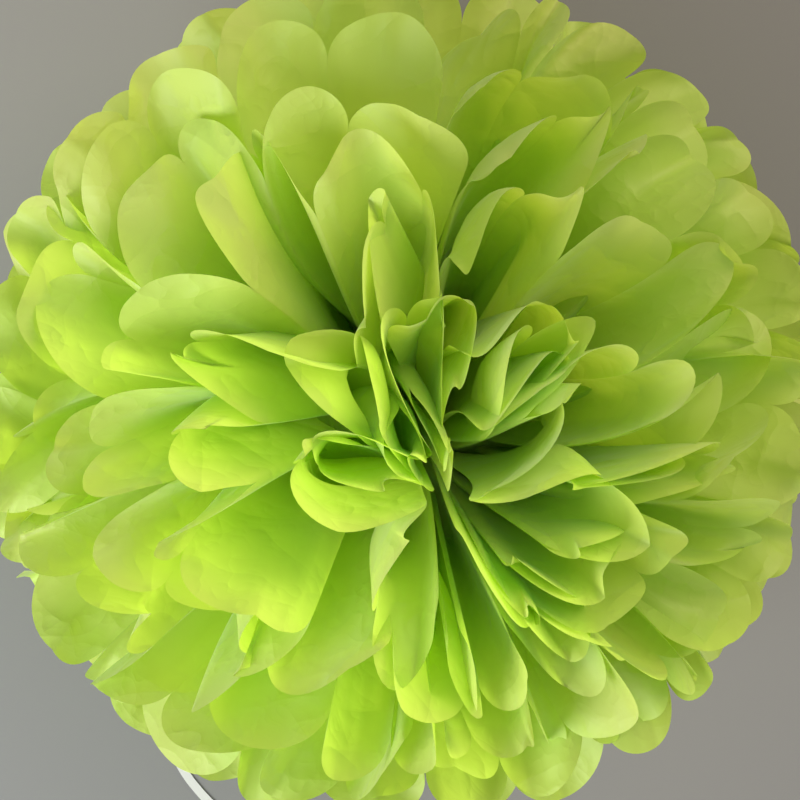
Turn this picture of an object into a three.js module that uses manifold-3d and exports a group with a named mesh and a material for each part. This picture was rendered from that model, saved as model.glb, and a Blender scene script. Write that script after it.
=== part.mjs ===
// Tissue paper pom pom. Twelve sheets of tissue are pleated together into one strip, the strip's
// ends are cut round, and a wire tie draws the middle in. The pleats then fan out on both sides of
// the tie, and each sheet is lifted away from the next, so that the rounded ends make a ball.
// A satin ribbon knotted to the tie is the hanging loop.
// Millimetres, +Z up along the axis that the sheets are lifted about. The origin is on the surface
// that the pom pom lies on, straight below the tie. The strip's own length runs along X, so the
// two fans meet in the plane X = 0, and the ribbon leaves through that gap.
import * as THREE from "three";
import { mergeVertices } from "three/addons/utils/BufferGeometryUtils.js";
import Module from "manifold-3d";

const wasm = await Module();
wasm.setup();

// ---- driving dimensions ----
const SHEETS = 12; // sheets of tissue, from the top one to the bottom one
const PANELS = 14; // pleat panels across a sheet
const PANEL_WIDTH = 38; // fold line to fold line
const BALL_RADIUS = 150; // tie to petal tip
const NOTCH_DEPTH = 0.45 * PANEL_WIDTH; // how far a fold line ends short of the petal tips
const TIE_HEIGHT = 133; // above the surface, which bends the lowest petals outwards
const SHEET_THICKNESS = 0.4; // a stand-in for tissue of 0.03 mm
const MITRE_LIMIT = 3; // how far a sharp fold may thicken the sheet
const NECK_PITCH = 1.1; // sheet to sheet where the tie draws them in
const NECK_RADII = { outermost: 3, step: 1 }; // of the top and bottom sheets, and towards the middle
const FAN_GAP = 3; // between the two fans, where the tie passes
const TOP_POLAR = THREE.MathUtils.degToRad(9); // the top sheet's angle from +Z
const BOTTOM_POLAR = THREE.MathUtils.degToRad(157); // the bottom sheet's, splayed by its weight
const WANDER = THREE.MathUtils.degToRad(2.6); // how unevenly a sheet has been lifted
const PETAL_BULGE = 3; // how far a petal bows towards the next sheet up
const FULL_PLEAT_AT = 60; // distance from the tie where a pleat has its full depth
const AXIS_CLEARANCE = 3; // how near the axis an inner fold may come
const FLOOR_PITCH = 1; // sheet to sheet where they lie on the surface

const TIE_RING_RADIUS = 9;
const TIE_WIRE_RADIUS = 0.45;
const TIE_TWIST = { length: 14, turns: 3, radius: 0.48, steps: 24 };

const RIBBON_WIDTH = 4;
const RIBBON_THICKNESS = 0.36;
const RIBBON_STEPS = 80;
const KNOT = { centre: [0, -12.6, TIE_HEIGHT], half: [1.1, 2.2, 3.4] };

// ---- closed solids from surfaces ----

// Closes a surface of triangles into a solid. Each point has an upper and a lower place, and the
// edges that only one triangle uses get a wall.
function closedSolid(upper, lower, triangles) {
  const count = upper.length;
  const index = [];
  const borders = new Map();
  for (const [a, b, c] of triangles) {
    index.push(a, b, c, count + a, count + c, count + b);
    for (const [from, to] of [[a, b], [b, c], [c, a]]) {
      const back = to + "," + from;
      if (borders.has(back)) borders.delete(back);
      else borders.set(from + "," + to, [from, to]);
    }
  }
  for (const [from, to] of borders.values()) {
    index.push(from, count + from, to, to, count + from, count + to);
  }
  const geometry = new THREE.BufferGeometry();
  const places = [...upper, ...lower].flatMap((p) => [p.x, p.y, p.z]);
  geometry.setAttribute("position", new THREE.Float32BufferAttribute(places, 3));
  geometry.setIndex(index);
  geometry.computeVertexNormals();
  return geometry;
}

// A three.js geometry as a manifold-3d solid, and back.
function toManifold(geometry) {
  const bare = geometry.clone();
  bare.deleteAttribute("normal");
  bare.deleteAttribute("uv");
  const merged = mergeVertices(bare, 1e-4);
  return new wasm.Manifold(new wasm.Mesh({
    numProp: 3,
    vertProperties: merged.attributes.position.array,
    triVerts: new Uint32Array(merged.index.array),
  }));
}

function toGeometry(solid) {
  const mesh = solid.getMesh();
  const geometry = new THREE.BufferGeometry();
  geometry.setAttribute("position", new THREE.BufferAttribute(mesh.vertProperties, 3));
  geometry.setIndex(new THREE.BufferAttribute(mesh.triVerts, 1));
  geometry.computeVertexNormals();
  return geometry;
}

// ---- tissue sheets ----

// How far a sheet is off its even angle, from -1 to 1: one value at each fold line, and straight
// between them.
function unevenness(sheet, side, across) {
  const atFold = (fold) => 0.6 * Math.sin(2.4 * fold + 1.9 * sheet + 5 * side)
    + 0.4 * Math.sin(0.9 * fold - 3.1 * sheet + 2 * side);
  const fold = Math.floor(across);
  return THREE.MathUtils.lerp(atFold(fold), atFold(fold + 1), across - fold);
}

// The straight line, in the plane of one azimuth, that a sheet follows from the tie to its petal
// tips: x is the distance from the Z axis and y the height above the tie. up points towards the
// next sheet up, and floor is the height that this sheet's petals lie at on the surface.
function sheetLine(sheet, side, across) {
  const polar = THREE.MathUtils.lerp(TOP_POLAR, BOTTOM_POLAR, sheet / (SHEETS - 1))
    + WANDER * unevenness(sheet, side, across);
  const inward = Math.min(sheet, SHEETS - 1 - sheet);
  const neckHeight = ((SHEETS - 1) / 2 - sheet) * NECK_PITCH;
  const start = new THREE.Vector2(NECK_RADII.outermost + inward * NECK_RADII.step, neckHeight);
  const end = new THREE.Vector2(Math.sin(polar), Math.cos(polar)).multiplyScalar(BALL_RADIUS);
  const along = end.clone().sub(start);
  const length = along.length();
  along.normalize();
  const up = new THREE.Vector2(-along.y, along.x);
  const floor = (SHEETS - 1 - sheet) * FLOOR_PITCH + SHEET_THICKNESS / 2 - TIE_HEIGHT;
  return { start, along, up, length, floor };
}

// Half the distance between neighbouring fold lines, and half the depth of the pleats: what the
// fan's spread leaves of the panel's width. Close to the tie the pleats are crushed flat.
function pleat(line, distance) {
  const radius = line.start.x + line.along.x * distance;
  const halfSpread = (Math.PI * radius) / PANELS / 2;
  const full = Math.sqrt(Math.max(PANEL_WIDTH ** 2 / 4 - halfSpread ** 2, 0));
  return { halfSpread, depth: full * THREE.MathUtils.smoothstep(distance, 0, FULL_PLEAT_AT) };
}

// A point of a sheet. side is 1 for the fan on the +X side and -1 for the other, across counts
// panels from one free edge to the other, so its whole numbers are the fold lines, and along is
// the distance from the tie, or nothing for the sheet's rounded end.
function sheetPoint(sheet, side, across, along) {
  const line = sheetLine(sheet, side, across);
  const distance = along ?? petalReach(line.length, across % 1);
  const panel = Math.min(Math.floor(across), PANELS - 1);
  const share = across - panel;
  const towards = panel % 2 ? 2 * share - 1 : 1 - 2 * share;
  const { halfSpread, depth } = pleat(line, distance);
  const middle = line.start.clone().addScaledVector(line.along, distance);
  let lift = towards * depth + PETAL_BULGE * 4 * share * (1 - share);
  const toAxis = (middle.x - AXIS_CLEARANCE) / Math.abs(line.up.x);
  lift = line.up.x < 0 ? Math.min(lift, toAxis) : Math.max(lift, -toAxis);
  const place = middle.addScaledVector(line.up, lift);
  // Half the thickness, measured along up, is more where the pleats are steep.
  const half = (SHEET_THICKNESS / 2) * Math.min(Math.hypot(1, depth / halfSpread), MITRE_LIMIT);
  let offset = line.up.clone().multiplyScalar(half);
  if (distance === 0) offset = NECK_UP.clone().add(line.up).multiplyScalar(half / (1 + line.up.y));
  // What would reach below the surface bends outwards and lies on it.
  if (place.y < line.floor) {
    const past = (line.floor - place.y) / Math.abs(line.along.y);
    place.set(place.x + past * (1 - line.along.x), line.floor);
    offset = NECK_UP.clone().multiplyScalar(SHEET_THICKNESS / 2);
  }
  const azimuth = Math.PI * (across / PANELS - 0.5);
  const at = (p) => new THREE.Vector3(
    side * (FAN_GAP / 2 + p.x * Math.cos(azimuth)),
    p.x * Math.sin(azimuth),
    Math.max(p.y + TIE_HEIGHT, 0),
  );
  return { upper: at(place.clone().add(offset)), lower: at(place.clone().sub(offset)) };
}

// The rounded end of a panel: how far the cut reaches at a share of the panel's width.
function petalReach(length, share) {
  return length - NOTCH_DEPTH * (1 - Math.sqrt(1 - (2 * share - 1) ** 2));
}

const NECK_UP = new THREE.Vector2(0, 1);
const FOLD_ROWS = [0, 22, 70]; // distances from the tie
const PETAL_SHARES = [0.2, 0.5, 0.8]; // places across a panel that its rounded end goes through

function tissueSheet(sheet) {
  const upper = [];
  const lower = [];
  const triangles = [];
  const neck = {};
  const add = (side, across, distance) => {
    const point = sheetPoint(sheet, side, across, distance);
    return upper.push(point.upper) && lower.push(point.lower) - 1;
  };
  for (const side of [1, -1]) {
    // The mirrored fan turns its triangles round, so that they face the same way.
    const face = (a, b, c) => triangles.push(side > 0 ? [a, b, c] : [a, c, b]);
    const rows = FOLD_ROWS.map((distance) =>
      Array.from({ length: PANELS + 1 }, (_, fold) => add(side, fold, distance)));
    const foldEnds = Array.from({ length: PANELS + 1 }, (_, fold) => add(side, fold));
    for (let panel = 0; panel < PANELS; panel++) {
      for (let row = 1; row < rows.length; row++) {
        const [inner, outer] = [rows[row - 1], rows[row]];
        face(inner[panel], outer[panel], outer[panel + 1]);
        face(inner[panel], outer[panel + 1], inner[panel + 1]);
      }
      const last = rows[rows.length - 1];
      const rim = [
        foldEnds[panel],
        ...PETAL_SHARES.map((share) => add(side, panel + share)),
        foldEnds[panel + 1],
      ];
      const halfway = Math.floor(rim.length / 2);
      for (let i = 1; i < rim.length; i++) {
        face(last[i <= halfway ? panel : panel + 1], rim[i - 1], rim[i]);
      }
      face(last[panel], rim[halfway], last[panel + 1]);
    }
    neck[side] = rows[0];
  }
  for (let panel = 0; panel < PANELS; panel++) {
    const [a, b] = [neck[1][panel], neck[1][panel + 1]];
    const [c, d] = [neck[-1][panel], neck[-1][panel + 1]];
    triangles.push([a, b, d], [a, d, c]);
  }
  return closedSolid(upper, lower, triangles);
}

// ---- wire tie ----

// A helix round the Y axis, for one of the two wire ends that are twisted together.
class WireEnd extends THREE.Curve {
  constructor(phase) {
    super();
    this.phase = phase;
  }

  getPoint(t, target = new THREE.Vector3()) {
    const turn = this.phase + 2 * Math.PI * TIE_TWIST.turns * t;
    return target.set(
      TIE_TWIST.radius * Math.cos(turn),
      TIE_RING_RADIUS + TIE_TWIST.length * t,
      TIE_TWIST.radius * Math.sin(turn),
    );
  }
}

function tieWire() {
  const section = new THREE.Shape();
  section.absarc(0, 0, TIE_WIRE_RADIUS, 0, 2 * Math.PI);
  const ring = new THREE.TorusGeometry(TIE_RING_RADIUS, TIE_WIRE_RADIUS, 8, 32).rotateY(Math.PI / 2);
  const ends = [0, Math.PI].map((phase) => new THREE.ExtrudeGeometry(section, {
    extrudePath: new WireEnd(phase),
    steps: TIE_TWIST.steps,
    curveSegments: 3,
    bevelEnabled: false,
  }));
  const whole = [ring, ...ends].map(toManifold).reduce((joined, piece) => joined.add(piece));
  return toGeometry(whole).translate(0, 0, TIE_HEIGHT);
}

// ---- hanging ribbon ----

// The route of the ribbon, knot to knot: out through the gap between the fans, down to the
// surface, round in one loose loop, and back up beside itself. The fourth number is the ribbon's
// lean in degrees: 0 where its width stands upright in the gap, 90 where it lies flat.
const RIBBON_ROUTE = [
  [-0.65, -13, 132, 0], [-0.65, -46, 100, 0], [-0.65, -80, 67, 0], [-0.8, -108, 38, 0],
  [-3, -131, 15, 20], [-12, -147, 3, 60], [-28, -152, 1, 78], [-46, -153, 1, 78],
  [-64, -154, 1, 78], [-80, -159, 1, 78], [-91, -170, 1, 78], [-95, -184, 1, 78],
  [-92, -200, 1, 78], [-83, -216, 1, 78], [-68, -232, 1, 78], [-46, -243, 1, 78],
  [-20, -246, 1, 78], [4, -240, 1, 78], [19, -226, 1, 78], [24, -208, 1, 78],
  [22, -188, 1, 78], [15, -168, 1.5, 74], [7, -149, 4, 50], [1.6, -131, 15, 20],
  [0.8, -108, 38, 0], [0.65, -80, 67, 0], [0.65, -46, 100, 0], [0.65, -13, 134, 0],
];

function hangingRibbon() {
  const points = RIBBON_ROUTE.map(([x, y, z]) => new THREE.Vector3(x, y, z));
  const route = new THREE.CatmullRomCurve3(points, false, "centripetal");
  const upper = [];
  const lower = [];
  const triangles = [];
  for (let step = 0; step <= RIBBON_STEPS; step++) {
    const t = route.getUtoTmapping(step / RIBBON_STEPS);
    const centre = route.getPoint(t);
    const tangent = route.getTangent(t);
    const upright = new THREE.Vector3(0, 0, 1).addScaledVector(tangent, -tangent.z).normalize();
    const last = RIBBON_ROUTE.length - 1;
    const before = Math.min(Math.floor(t * last), last - 1);
    const [from, to] = [RIBBON_ROUTE[before][3], RIBBON_ROUTE[before + 1][3]];
    const lean = THREE.MathUtils.degToRad(THREE.MathUtils.lerp(from, to, t * last - before));
    const width = upright.applyAxisAngle(tangent, lean);
    const through = new THREE.Vector3().crossVectors(tangent, width);
    for (const edge of [-0.5, 0.5]) {
      const place = centre.clone().addScaledVector(width, edge * RIBBON_WIDTH);
      upper.push(place.clone().addScaledVector(through, RIBBON_THICKNESS / 2));
      lower.push(place.clone().addScaledVector(through, -RIBBON_THICKNESS / 2));
    }
    if (step === 0) continue;
    const at = 2 * step;
    triangles.push([at - 2, at, at + 1], [at - 2, at + 1, at - 1]);
  }
  const band = toManifold(closedSolid(upper, lower, triangles));
  const knot = new THREE.IcosahedronGeometry(1, 2).scale(...KNOT.half).translate(...KNOT.centre);
  return toGeometry(band.add(toManifold(knot)));
}

// ---- the whole pom pom ----

const TISSUE = new THREE.MeshStandardMaterial({
  color: new THREE.Color(0.62, 0.8, 0.2), roughness: 0.9, metalness: 0, side: THREE.DoubleSide,
});
const WIRE = new THREE.MeshStandardMaterial({ color: 0xb9bcbe, roughness: 0.35, metalness: 1 });
const SATIN = new THREE.MeshStandardMaterial({ color: 0xf2f3f2, roughness: 0.4, metalness: 0 });

const pomPom = new THREE.Group();
const addPiece = (name, geometry, material) => {
  const piece = new THREE.Mesh(geometry, material);
  piece.name = name;
  pomPom.add(piece);
};
for (let sheet = 0; sheet < SHEETS; sheet++) {
  addPiece("tissue_sheet_" + String(sheet + 1).padStart(2, "0"), tissueSheet(sheet), TISSUE);
}
addPiece("tie_wire", tieWire(), WIRE);
addPiece("hanging_ribbon", hangingRibbon(), SATIN);

export default pomPom;
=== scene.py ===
"""Tissue paper pom pom, lying on a pale floor and seen from above.

Each sheet of tissue is one pleated surface of a single layer, worked out row by row. A row is the
line across the sheet at one distance from the tie. It keeps the sheet's own width, so it has to
wind to and fro to fit round the pom pom, and the panels between the fold lines take the curves
that they would in paper. Lengths are in metres.
"""
from math import cos, pi, radians, sin

import bpy
import numpy as np
from mathutils import Matrix, Vector


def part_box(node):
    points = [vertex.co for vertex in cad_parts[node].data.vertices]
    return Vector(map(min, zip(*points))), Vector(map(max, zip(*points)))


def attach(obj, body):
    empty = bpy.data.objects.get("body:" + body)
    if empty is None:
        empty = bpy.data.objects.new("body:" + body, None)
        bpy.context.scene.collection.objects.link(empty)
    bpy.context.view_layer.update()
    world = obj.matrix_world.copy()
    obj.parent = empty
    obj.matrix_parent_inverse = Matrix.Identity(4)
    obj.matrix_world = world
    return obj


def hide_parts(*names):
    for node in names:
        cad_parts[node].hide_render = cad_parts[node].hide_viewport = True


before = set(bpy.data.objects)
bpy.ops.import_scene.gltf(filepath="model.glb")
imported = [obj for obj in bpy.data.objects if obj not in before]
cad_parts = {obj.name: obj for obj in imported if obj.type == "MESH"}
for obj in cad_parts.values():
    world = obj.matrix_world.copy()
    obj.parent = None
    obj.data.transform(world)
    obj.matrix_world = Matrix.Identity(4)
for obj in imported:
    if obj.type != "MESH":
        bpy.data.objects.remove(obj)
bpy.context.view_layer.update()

# ---- driving dimensions ----
SHEETS = 12
PANELS = 14
PANEL_WIDTH = 0.038
BALL_RADIUS = 0.150
NOTCH_DEPTH = 0.45 * PANEL_WIDTH
TIE_HEIGHT = sum(corner[2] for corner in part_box("tie_wire")) / 2
NECK_PITCH = 0.0011
NECK_RADII = (0.003, 0.001)  # of the top and bottom sheets, and what each sheet inwards adds
FAN_GAP = 0.003
FLOOR_PITCH = 0.001  # how far apart the sheets lie where they rest on each other on the floor
FLOOR_GAP = 0.0002
POLAR_ANGLES = np.radians([13, *np.linspace(24, 157, SHEETS - 1)])  # each sheet's, from +Z

RIBBON_WIDTH = 0.004

# ---- camera ----
CAMERA_DISTANCE = 0.62  # from the tie
CAMERA_TILT = radians(13.5)  # off the pom pom's own axis
CAMERA_TURN = radians(117)  # which way it is off, counterclockwise from +X
PICTURE_HALF_WIDTH = 0.151  # of the plane through the tie that the picture takes in


def set_camera():
    data = bpy.data.cameras.new("camera")
    camera = bpy.data.objects.new("camera", data)
    bpy.context.collection.objects.link(camera)
    off = Vector((cos(CAMERA_TURN), sin(CAMERA_TURN), 0)) * sin(CAMERA_TILT)
    towards = off + Vector((0, 0, cos(CAMERA_TILT)))
    right = Vector((0, 1, 0)).cross(towards).normalized()
    up = towards.cross(right)
    turn = Matrix((right, up, towards)).transposed().to_4x4()
    place = Vector((0, 0, TIE_HEIGHT)) + towards * CAMERA_DISTANCE
    camera.matrix_world = Matrix.Translation(place) @ turn
    data.angle = 2 * np.arctan(PICTURE_HALF_WIDTH / CAMERA_DISTANCE)
    data.clip_start = 0.01
    bpy.context.scene.camera = camera


set_camera()

# ---- materials ----


def new_material(name):
    material = bpy.data.materials.new(name)
    material.use_nodes = True
    material.node_tree.nodes.clear()
    return material, material.node_tree.nodes, material.node_tree.links


def add_node(nodes, kind, **settings):
    """A shader node, with its properties and its inputs set by name."""
    node = nodes.new(kind)
    for key, value in settings.items():
        if hasattr(node, key):
            setattr(node, key, value)
        else:
            node.inputs[key.replace("_", " ")].default_value = value
    return node


TISSUE_COLOUR = (0.68, 0.855, 0.18, 1)
TISSUE_PATCHES = (0.79, 0.84, 0.24, 1)  # where the dye has taken less evenly
TISSUE_THROUGH = (0.66, 0.885, 0.07, 1)
LIGHT_THROUGH = 0.52  # share of the light that passes through a sheet
PATCHES_START, PATCHES_FULL = 0.42, 0.66  # on the noise that lays the patches out


def tissue_material():
    material, nodes, links = new_material("tissue")
    place = add_node(nodes, "ShaderNodeNewGeometry")
    crumple = add_node(
        nodes, "ShaderNodeTexNoise", noise_type="RIDGED_MULTIFRACTAL", Scale=24, Detail=3
    )
    crumple.inputs["Offset"].default_value = 1.0
    crumple.inputs["Gain"].default_value = 1.4
    links.new(place.outputs["Position"], crumple.inputs["Vector"])
    bump = add_node(nodes, "ShaderNodeBump", Strength=0.5, Distance=0.003)
    links.new(crumple.outputs["Fac"], bump.inputs["Height"])
    dye = add_node(nodes, "ShaderNodeTexNoise", Scale=16, Detail=1, Roughness=0.5)
    links.new(place.outputs["Position"], dye.inputs["Vector"])
    tints = add_node(nodes, "ShaderNodeValToRGB")
    first, last = tints.color_ramp.elements
    first.position, first.color = PATCHES_START, TISSUE_COLOUR
    last.position, last.color = PATCHES_FULL, TISSUE_PATCHES
    links.new(dye.outputs["Fac"], tints.inputs["Fac"])
    facing = add_node(nodes, "ShaderNodeBsdfPrincipled", Roughness=0.56, Sheen_Weight=0.35)
    facing.inputs["Specular IOR Level"].default_value = 1.0
    links.new(tints.outputs["Color"], facing.inputs["Base Color"])
    through = add_node(nodes, "ShaderNodeBsdfTranslucent", Color=TISSUE_THROUGH)
    links.new(bump.outputs["Normal"], facing.inputs["Normal"])
    links.new(bump.outputs["Normal"], through.inputs["Normal"])
    mix = add_node(nodes, "ShaderNodeMixShader", Fac=LIGHT_THROUGH)
    links.new(facing.outputs["BSDF"], mix.inputs[1])
    links.new(through.outputs["BSDF"], mix.inputs[2])
    output = add_node(nodes, "ShaderNodeOutputMaterial")
    links.new(mix.outputs["Shader"], output.inputs["Surface"])
    return material


def plain_material(name, colour, roughness, metallic=0.0, sheen=0.0):
    material, nodes, links = new_material(name)
    shader = add_node(
        nodes,
        "ShaderNodeBsdfPrincipled",
        Base_Color=colour,
        Roughness=roughness,
        Metallic=metallic,
        Sheen_Weight=sheen,
    )
    output = add_node(nodes, "ShaderNodeOutputMaterial")
    links.new(shader.outputs["BSDF"], output.inputs["Surface"])
    return material


def add_mesh(name, vertices, faces, material):
    data = bpy.data.meshes.new(name)
    data.from_pydata([tuple(v) for v in vertices], [], faces)
    data.validate()
    data.shade_smooth()
    data.materials.append(material)
    piece = bpy.data.objects.new(name, data)
    bpy.context.collection.objects.link(piece)
    return piece


# ---- tissue sheets ----
SEED = 22
COLUMNS = 28  # mesh columns in a panel
MESH_ROWS = 44
MESH_ROW_CROWDING = 0.8  # under 1, the mesh rows are closer together towards the petals' tips
ROW_SPACING = 0.002  # of the rows that are worked out, which the mesh rows lie between
ROWS = np.arange(0, BALL_RADIUS + ROW_SPACING, ROW_SPACING)

# Places across a panel, from 0 to 1, closer together towards the fold lines.
ONE_PANEL = (1 - np.cos(np.pi * np.arange(COLUMNS + 1) / COLUMNS)) / 2
# The mesh columns, counted in panels from one free edge. Whole numbers are the fold lines.
ACROSS = np.concatenate([ONE_PANEL[:-1] + panel for panel in range(PANELS)] + [[PANELS]])
PANEL = np.minimum(ACROSS.astype(int), PANELS - 1)  # the panel that each column is in
SHARE = ACROSS - PANEL  # how far across that panel it is, from 0 to 1

FREE_FROM = 0.03  # distance from the tie where the pleats start to open
FULL_WIDTH_AT = 0.055  # where the sheet is no longer gathered by the tie
AXIS_CLEARANCE = 0.003
LEAST_REACH = 0.004  # nearer the tie than this, a lift turns the sheet as it does this far out
STEEPEST = 2.0  # radians that a panel may turn from its row's own direction
MOST_WINDING = 6.0  # the top of the range that a row's winding is looked for in
WINDING_STEPS = 30  # halvings of that range
SAMENESS = 0.5  # how alike neighbouring sheets are, since they were pleated together
SEAM_WANDER = radians(7)  # how far a sheet's free edges stray from the seam
WANDERING_SHEETS = 8  # the ones above those that lie on the floor

# A fold's softness is the share of a panel that it takes to turn in. The second number is what
# crowding near the axis adds.
NEAR_AXIS_SOFTNESS = (0.10, -0.06)
OUTER_SOFTNESS = (0.12, 0.06)
SOFTNESS_SPREAD = 0.3

# SHARPNESS, ARCH and CURL are each a mean and a spread.
SHARPNESS = (0.93, 0.55)
SHARPNESS_RANGE = (0.2, 1.9)
LEAN = 0.9
LEAN_SMOOTHING = (0.35, 0.6, 0.6, 0.35)
ARCH = (-0.45, 0.5)
PINCH_OVER = 1.4  # a petal whose draw is over this is pinched in two
PINCH_STEEPNESS, PINCH_CRISPNESS = 1.1, 9
DRIFT, DRIFT_LIMIT = 0.0075, 1.6
DRIFT_SMOOTHING = (0.5, 0.7, 0.5)
CURL = (-3, 13)  # one over the radius that a petal's end is rolled to
CURL_RANGE = (-28, 22)
TWIST, TWIST_LIMIT = 0.0045, 1.8
BEND_FROM = 0.095  # distance from the tie where the curl and the twist start
CREASE_HEIGHT = 0.00035
CREASE_FADING = 0.85  # share of its height that a crease loses by the tips
CREASE_WAVES = (1.3, 0.9)  # a panel, of the first crease, and what each one more adds
CREASE_SLANT = 30
PRESSED_OUT = 0.6  # how far the floor pushes a petal outwards, for each metre that it is bent up


def draw_chance(seed):
    """Normal deviates for each sheet and half. Those of neighbouring sheets are alike."""
    rng = np.random.default_rng(seed)
    counts = {
        "softness": PANELS + 1,
        "sharpness": PANELS + 1,
        "arch": PANELS,
        "pinch": PANELS,
        "drift": PANELS + 3,
        "curl": PANELS,
        "twist": PANELS,
        "crease": 12,
        "lean": PANELS + 3,
    }
    chance = {}
    for name, count in counts.items():
        draws = rng.standard_normal((SHEETS, 2, count))
        for sheet in range(1, SHEETS):
            fresh = np.sqrt(1 - SAMENESS**2) * draws[sheet]
            draws[sheet] = SAMENESS * draws[sheet - 1] + fresh
        chance[name] = draws
    return chance


CHANCE = draw_chance(SEED)


def ease(x):
    x = np.clip(x, 0, 1)
    return x * x * (3 - 2 * x)


def between_folds(values):
    """Values at the fold lines, made smooth across the sheet."""
    share = ease(SHARE)
    return values[PANEL] * (1 - share) + values[PANEL + 1] * share


def between_panels(values):
    """Values at the middles of the panels, made smooth across the sheet."""
    return np.interp(ACROSS, np.arange(PANELS) + 0.5, values)


class Fan:
    """Half of a sheet: what spreads from the tie to one side."""

    def __init__(self, sheet, half, seams):
        self.side = 1 if half == 0 else -1
        self.polar = POLAR_ANGLES[sheet]
        inward = min(sheet, SHEETS - 1 - sheet)
        self.neck_radius = NECK_RADII[0] + NECK_RADII[1] * inward
        self.neck_height = ((SHEETS - 1) / 2 - sheet) * NECK_PITCH
        self.floor = (SHEETS - 1 - sheet) * FLOOR_PITCH + FLOOR_GAP
        self.seams = self.side * seams  # how far its ends stray from the seam, in radians
        crowded = 1 - np.sin(self.polar)
        folds = np.arange(PANELS + 1)
        # Even folds point to the next sheet up. The ones nearer the axis are packed sharper.
        near_axis = (folds % 2 == 0) if self.polar < pi / 2 else (folds % 2 == 1)
        sharp = NEAR_AXIS_SOFTNESS[0] + NEAR_AXIS_SOFTNESS[1] * crowded
        soft = OUTER_SOFTNESS[0] + OUTER_SOFTNESS[1] * crowded
        spread = np.exp(SOFTNESS_SPREAD * CHANCE["softness"][sheet, half])
        self.softness = np.where(near_axis, sharp, soft) * spread
        # A fold that has opened out lies low, between two panels that are less steep.
        sharpness = SHARPNESS[0] + SHARPNESS[1] * CHANCE["sharpness"][sheet, half]
        sharpness = np.clip(sharpness, *SHARPNESS_RANGE)
        self.steepness = (sharpness[1:] + sharpness[:-1]) / 2
        # Pleats lie over to one side: of two panels, one faces outwards and one is tucked away.
        lean = np.convolve(CHANCE["lean"][sheet, half], LEAN_SMOOTHING, "valid")
        tilted = np.where(np.arange(PANELS) % 2 == 0, 1, -1) * np.clip(lean, -1, 1)
        self.steepness = self.steepness * np.exp(LEAN * tilted)
        # Petals cup towards the next sheet up, or arch away from it. A few are pinched in two.
        self.arch = ARCH[0] + ARCH[1] * CHANCE["arch"][sheet, half]
        self.pinched = CHANCE["pinch"][sheet, half] > PINCH_OVER
        # Folds drift towards the next sheet up or down.
        drift = np.convolve(CHANCE["drift"][sheet, half], DRIFT_SMOOTHING, "valid")
        self.drift = DRIFT * between_folds(np.clip(drift, -DRIFT_LIMIT, DRIFT_LIMIT))
        curl = CURL[0] + CURL[1] * CHANCE["curl"][sheet, half]
        self.curl = between_panels(np.clip(curl, *CURL_RANGE))
        twist = np.clip(CHANCE["twist"][sheet, half], -TWIST_LIMIT, TWIST_LIMIT)
        self.twist = TWIST * twist[PANEL] * np.sin(2 * pi * SHARE)
        self.phases = 2 * pi * CHANCE["crease"][sheet, half].reshape(-1, 2)

    def turning(self, freedom):
        """The direction of a row inside each panel: a part that goes from 0 at a soft fold to
        about 1 between, which the row's winding scales, and a part that bows the panel."""
        rise = 1 - np.exp(-SHARE / self.softness[PANEL])
        fall = 1 - np.exp(-(1 - SHARE) / self.softness[PANEL + 1])
        sign = np.where(PANEL % 2 == 0, -1, 1)
        steepness = 1 + freedom * (self.steepness - 1)
        bow = self.arch[PANEL] * (1 - 2 * SHARE)
        pinch = PINCH_STEEPNESS * np.sign(self.arch[PANEL])
        pinch = pinch * np.tanh(PINCH_CRISPNESS * (1 - 2 * SHARE))
        bow = np.where(self.pinched[PANEL], pinch, bow)
        return sign * rise * fall * steepness[PANEL], freedom * bow

    def wind(self, distance, width, winding, freedom):
        """One row: how far each place is lifted towards the next sheet, and its azimuth from the
        row's start. winding is how steeply the panels cross the row's own direction."""
        turning, bow = self.turning(freedom)
        angle = STEEPEST * np.tanh((winding * turning + bow) / STEEPEST)
        # The places at a fold line belong to two panels, which meet there.
        middle = (angle[1:] + angle[:-1]) / 2
        step = np.diff(ACROSS) * width
        lift = np.concatenate([[0], np.cumsum(np.sin(middle) * step)])
        at_folds = lift[::COLUMNS]
        padded = np.concatenate([[at_folds[1]], at_folds, [at_folds[-2]]])
        level = (padded[:-2] + 2 * padded[1:-1] + padded[2:]) / 4
        lift = lift - np.interp(ACROSS, np.arange(PANELS + 1), level)
        lift = lift + freedom * self.drift
        radius, _ = self.place(distance, lift)
        azimuth = np.cumsum(np.cos(middle) * step * 2 / (radius[1:] + radius[:-1]))
        return lift, np.concatenate([[0], azimuth])

    def place(self, distance, lift):
        """Distance from the Z axis, and height above the tie."""
        polar = self.polar - lift / np.maximum(distance, LEAST_REACH)
        radius = self.neck_radius + distance * np.sin(polar)
        # No fold passes the axis: the ones that would are pressed together beside it.
        radius = (radius + np.sqrt(radius**2 + 4 * AXIS_CLEARANCE**2)) / 2
        return radius, self.neck_height + distance * np.cos(polar)

    def row(self, distance):
        """The places along the row at one distance from the tie."""
        freedom = float(ease((distance - FREE_FROM) / (BALL_RADIUS - FREE_FROM)))
        neck_width = pi * self.neck_radius / PANELS
        width = neck_width + (PANEL_WIDTH - neck_width) * float(ease(distance / FULL_WIDTH_AT))
        start = -pi / 2 + self.seams[0] * freedom
        end = pi / 2 + self.seams[1] * freedom
        low, high = 0.0, MOST_WINDING
        for _ in range(WINDING_STEPS):
            winding = (low + high) / 2
            _, azimuth = self.wind(distance, width, winding, freedom)
            if azimuth[-1] > end - start:
                low = winding
            else:
                high = winding
        lift, azimuth = self.wind(distance, width, winding, freedom)
        azimuth = start + azimuth * (end - start) / azimuth[-1]
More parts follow.
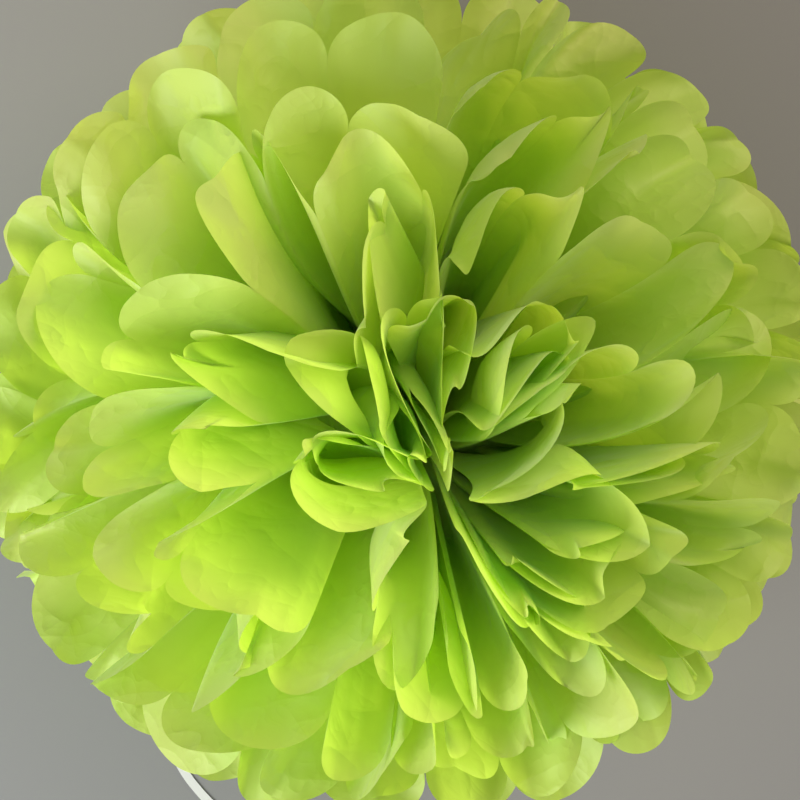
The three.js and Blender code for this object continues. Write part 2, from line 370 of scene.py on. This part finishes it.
        # Creases that run along the strip, and the curl and twist of the petals' ends.
        crease_height = CREASE_HEIGHT * (1 - CREASE_FADING * freedom)
        for number, (one, two) in enumerate(self.phases):
            waves = CREASE_WAVES[0] + CREASE_WAVES[1] * number
            phase = 2 * pi * waves * ACROSS + one + distance * CREASE_SLANT * sin(two)
            lift = lift + crease_height * np.sin(phase)
        past = max(distance - BEND_FROM, 0)
        lift = lift + self.twist * (past / (BALL_RADIUS - BEND_FROM)) ** 2
        angle = self.curl * past
        small = np.abs(angle) < 1e-4
        safe = np.where(small, 1, angle)
        along = np.where(small, 1, np.sin(safe) / safe) * past
        aside = np.where(small, 0, (1 - np.cos(safe)) / safe) * past
        radius, height = self.place(distance - past + along, lift + aside)
        return np.column_stack([radius, azimuth, height])

    def surface(self):
        """The mesh's grid: rows from the tie to the rounded ends, columns across the sheet."""
        rows = np.array([self.row(distance) for distance in ROWS])
        reach = BALL_RADIUS - NOTCH_DEPTH * (1 - np.sqrt(1 - (2 * SHARE - 1) ** 2))
        levels = np.linspace(0, 1, MESH_ROWS) ** MESH_ROW_CROWDING
        grid = np.empty((MESH_ROWS, len(ACROSS), 3))
        for column, length in enumerate(reach):
            for axis in range(3):
                grid[:, column, axis] = np.interp(levels * length, ROWS, rows[:, column, axis])
        radius, azimuth, height = np.moveaxis(grid, 2, 0)
        z = height + TIE_HEIGHT
        past = np.maximum(self.floor - z, 0)
        z = np.maximum(z, self.floor)
        radius = radius + PRESSED_OUT * past
        x = self.side * (FAN_GAP / 2 + radius * np.cos(azimuth))
        return np.stack([x, radius * np.sin(azimuth), z], axis=2)


def add_sheet(sheet, material):
    rng = np.random.default_rng(SEED + sheet)
    wander = SEAM_WANDER if sheet < WANDERING_SHEETS else 0.0
    seams = rng.uniform(-wander, wander, 2)
    grids = [Fan(sheet, half, seams).surface() for half in (0, 1)]
    rows, columns, _ = grids[0].shape
    vertices = np.concatenate([grid.reshape(-1, 3) for grid in grids])
    faces = []
    for half, side in enumerate((1, -1)):
        first = half * rows * columns
        for row in range(rows - 1):
            for column in range(columns - 1):
                a = first + row * columns + column
                corners = (a, a + columns, a + columns + 1, a + 1)
                faces.append(corners if side > 0 else corners[::-1])
    for column in range(columns - 1):
        other = rows * columns + column
        faces.append((column, column + 1, other + 1, other))
    piece = add_mesh(f"tissue_{sheet + 1:02d}", vertices, faces, material)
    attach(piece, "root")
    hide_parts(f"tissue_sheet_{sheet + 1:02d}")


# ---- hanging ribbon ----

# The same route as the CAD part's, in millimetres, with the ribbon's lean in degrees.
RIBBON_ROUTE = [
    (-0.65, -13, 132, 0), (-0.65, -46, 100, 0), (-0.65, -80, 67, 0), (-0.8, -108, 38, 0),
    (-3, -131, 15, 20), (-12, -147, 3, 60), (-28, -152, 1, 78), (-46, -153, 1, 78),
    (-64, -154, 1, 78), (-80, -159, 1, 78), (-91, -170, 1, 78), (-95, -184, 1, 78),
    (-92, -200, 1, 78), (-83, -216, 1, 78), (-68, -232, 1, 78), (-46, -243, 1, 78),
    (-20, -246, 1, 78), (4, -240, 1, 78), (19, -226, 1, 78), (24, -208, 1, 78),
    (22, -188, 1, 78), (15, -168, 1.5, 74), (7, -149, 4, 50), (1.6, -131, 15, 20),
    (0.8, -108, 38, 0), (0.65, -80, 67, 0), (0.65, -46, 100, 0), (0.65, -13, 134, 0),
]  # fmt: skip
RIBBON_STEPS_PER_POINT = 12
KNOT_STEPS = 60
KNOT_WAVES = (0.00025, 0.0005, 0.0008, -0.0011, -0.001)  # how wide the trefoil winds
KNOT_FLARE = 0.35
KNOT_HALF_WIDTH = 0.0007


def ribbon_centreline():
    """A centripetal Catmull-Rom curve through the route, and the ribbon's lean along it."""
    route = np.array(RIBBON_ROUTE, float)
    points = route[:, :3] / 1000
    first = 2 * points[0] - points[1]
    last = 2 * points[-1] - points[-2]
    points = np.vstack([first, points, last])
    places, leans = [], []
    for i in range(1, len(points) - 2):
        p = points[i - 1 : i + 3]
        gaps = np.sqrt(np.linalg.norm(np.diff(p, axis=0), axis=1))
        knots = np.concatenate([[0], np.cumsum(gaps)])
        for step in range(RIBBON_STEPS_PER_POINT):
            share = step / RIBBON_STEPS_PER_POINT
            t = knots[1] + share * gaps[1]
            level = p
            for order in (1, 2, 3):
                level = [
                    level[j] * (knots[j + order] - t) / (knots[j + order] - knots[j])
                    + level[j + 1] * (t - knots[j]) / (knots[j + order] - knots[j])
                    for j in range(4 - order)
                ]
            places.append(level[0])
            leans.append(route[i - 1, 3] * (1 - share) + route[i, 3] * share)
    places.append(points[-2])
    leans.append(route[-1, 3])
    return np.array(places), np.radians(leans)


def add_ribbon(material):
    places, leans = ribbon_centreline()
    tangents = np.gradient(places, axis=0)
    vertices = []
    for place, tangent, lean in zip(places, tangents, leans):
        tangent = Vector(tangent).normalized()
        upright = (Vector((0, 0, 1)) - tangent * tangent.z).normalized()
        width = Matrix.Rotation(lean, 3, tangent) @ upright
        for edge in (-0.5, 0, 0.5):
            vertices.append(Vector(place) + width * edge * RIBBON_WIDTH)
    faces = [
        (at, at + 1, at + 4, at + 3)
        for step in range(len(places) - 1)
        for at in (3 * step, 3 * step + 1)
    ]
    ribbon = add_mesh("ribbon", vertices, faces, material)
    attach(ribbon, "root")
    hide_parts("hanging_ribbon")
    knot = add_knot(places, material)


def add_knot(places, material):
    """A small overhand knot of the same ribbon, drawn tight on the tie."""
    centre = (places[0] + places[-1]) / 2
    turns = np.linspace(0, 2 * pi, KNOT_STEPS + 1)
    line = np.column_stack([
        KNOT_WAVES[0] * np.sin(turns) + KNOT_WAVES[1] * np.sin(2 * turns),
        KNOT_WAVES[2] * np.cos(turns) + KNOT_WAVES[3] * np.cos(2 * turns),
        KNOT_WAVES[4] * np.sin(3 * turns),
    ])
    vertices, faces = [], []
    for i, place in enumerate(line):
        for edge in (-1, 1):
            outwards = place * (1 + KNOT_FLARE * edge)
            vertices.append(centre + outwards + (0, 0, KNOT_HALF_WIDTH * edge))
        if i:
            faces.append((2 * i - 2, 2 * i - 1, 2 * i + 1, 2 * i))
    knot = add_mesh("ribbon_knot", vertices, faces, material)
    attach(knot, "root")
    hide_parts("hanging_ribbon")
    return knot


satin = plain_material("satin", (0.86, 0.87, 0.86, 1), roughness=0.38, sheen=0.3)
add_ribbon(satin)
tissue = tissue_material()
for sheet in range(SHEETS):
    add_sheet(sheet, tissue)
steel = plain_material("steel", (0.7, 0.71, 0.72, 1), roughness=0.32, metallic=1.0)
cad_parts["tie_wire"].data.materials.clear()
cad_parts["tie_wire"].data.materials.append(steel)


# ---- floor and light ----
FLOOR_HALF = 6.0
FLOOR_COLOUR = (0.237, 0.240, 0.236, 1)


def add_floor():
    half = FLOOR_HALF
    corners = [(-half, -half, 0), (half, -half, 0), (half, half, 0), (-half, half, 0)]
    material = plain_material("floor", FLOOR_COLOUR, roughness=0.8)
    floor = add_mesh("floor", corners, [(0, 1, 2, 3)], material)


def add_area_light(name, place, size, power, colour):
    data = bpy.data.lights.new(name, "AREA")
    data.shape = "DISK"
    data.size = size
    data.energy = power
    data.color = colour
    light = bpy.data.objects.new(name, data)
    bpy.context.collection.objects.link(light)
    light.location = place
    towards = Vector((0, 0, TIE_HEIGHT)) - Vector(place)
    light.rotation_euler = towards.to_track_quat("-Z", "Y").to_euler()


def set_sky(strength, colour):
    world = bpy.data.worlds.new("sky")
    world.use_nodes = True
    background = world.node_tree.nodes["Background"]
    background.inputs["Color"].default_value = (*colour, 1)
    background.inputs["Strength"].default_value = strength
    bpy.context.scene.world = world


bpy.context.scene.view_settings.view_transform = "Standard"
add_floor()
add_area_light("window", (-0.85, -0.5, 0.66), size=0.9, power=15.5, colour=(1.0, 1.0, 0.99))
add_area_light("fill", (0.65, 0.85, 0.95), size=1.2, power=12, colour=(1.0, 0.78, 0.60))
set_sky(strength=0.44, colour=(0.99, 0.98, 0.95))
